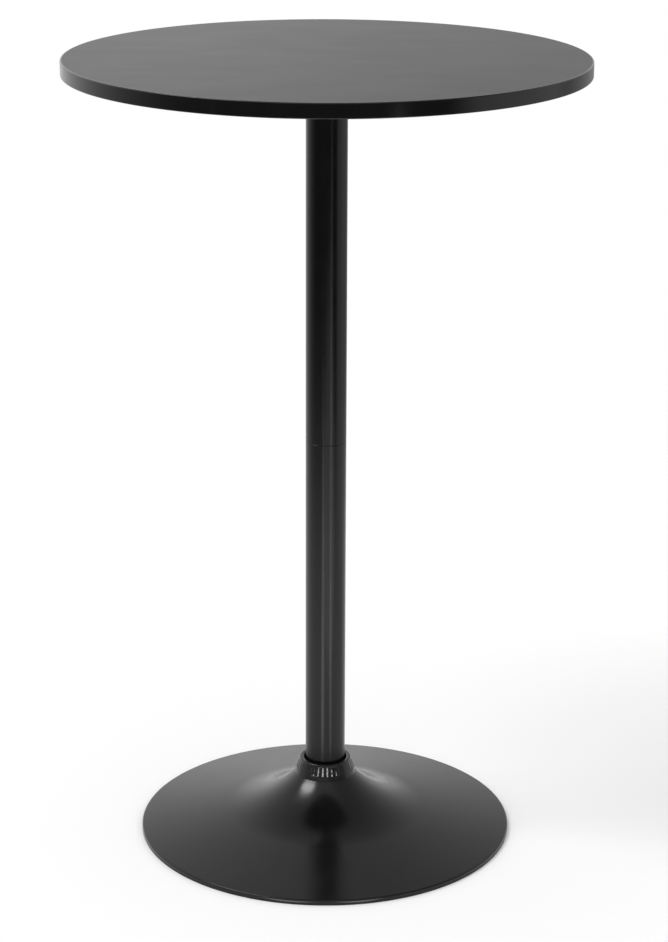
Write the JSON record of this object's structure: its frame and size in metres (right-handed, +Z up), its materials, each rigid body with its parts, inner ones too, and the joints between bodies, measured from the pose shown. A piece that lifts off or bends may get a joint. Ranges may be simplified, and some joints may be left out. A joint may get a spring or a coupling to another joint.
{
  "type": "pub table",
  "caption": "Round bar-height pub table: a laminated top on a screwed tube column that stands on a flared steel dish, with a loose collar round its neck.",
  "frame": {"origin": "on the floor, under the middle of the column", "axes": "+Z up the column, -Y towards the side that the picture shows, +X to that view's right"},
  "size_m": [0.635, 0.6349, 1],
  "materials": {
    "fibreboard": "raw fibreboard",
    "black_laminate": "satin melamine laminate",
    "black_edge_band": "satin extruded edge strip",
    "black_powder_coat": "satin black powder coat",
    "black_gloss_plastic": "glossy moulding",
    "black_floor_ring": "matt soft ring",
    "zinc_steel": "bright zinc plate",
    "turned_steel": "turned, oiled"
  },
  "bodies": {
    "table": {"tabletop_core": "fibreboard", "tabletop_laminate": "black_laminate", "underside_laminate": "black_laminate", "edge_band": "black_edge_band", "threaded_inserts": "zinc_steel", "mounting_plate": "black_powder_coat", "mounting_plate_weld": "black_powder_coat", "mounting_bolt_washers": "zinc_steel", "mounting_bolt_spring_washers": "zinc_steel", "mounting_bolts": "zinc_steel", "lower_column": "black_powder_coat", "upper_column": "black_powder_coat", "column_spigot": "turned_steel", "column_socket": "turned_steel", "column_foot_plug": "turned_steel", "base_dish": "black_powder_coat", "floor_ring": "black_floor_ring", "base_clamp_washer": "zinc_steel", "base_spring_washer": "zinc_steel", "base_bolt": "zinc_steel"},
    "collar": {"base_collar": "black_gloss_plastic"}
  },
  "joints": [
    {"name": "collar_slide", "type": "slide", "parent": "table", "child": "collar", "axis": [0, 0, 1], "range_m": [0, 0.879]}
  ]
}
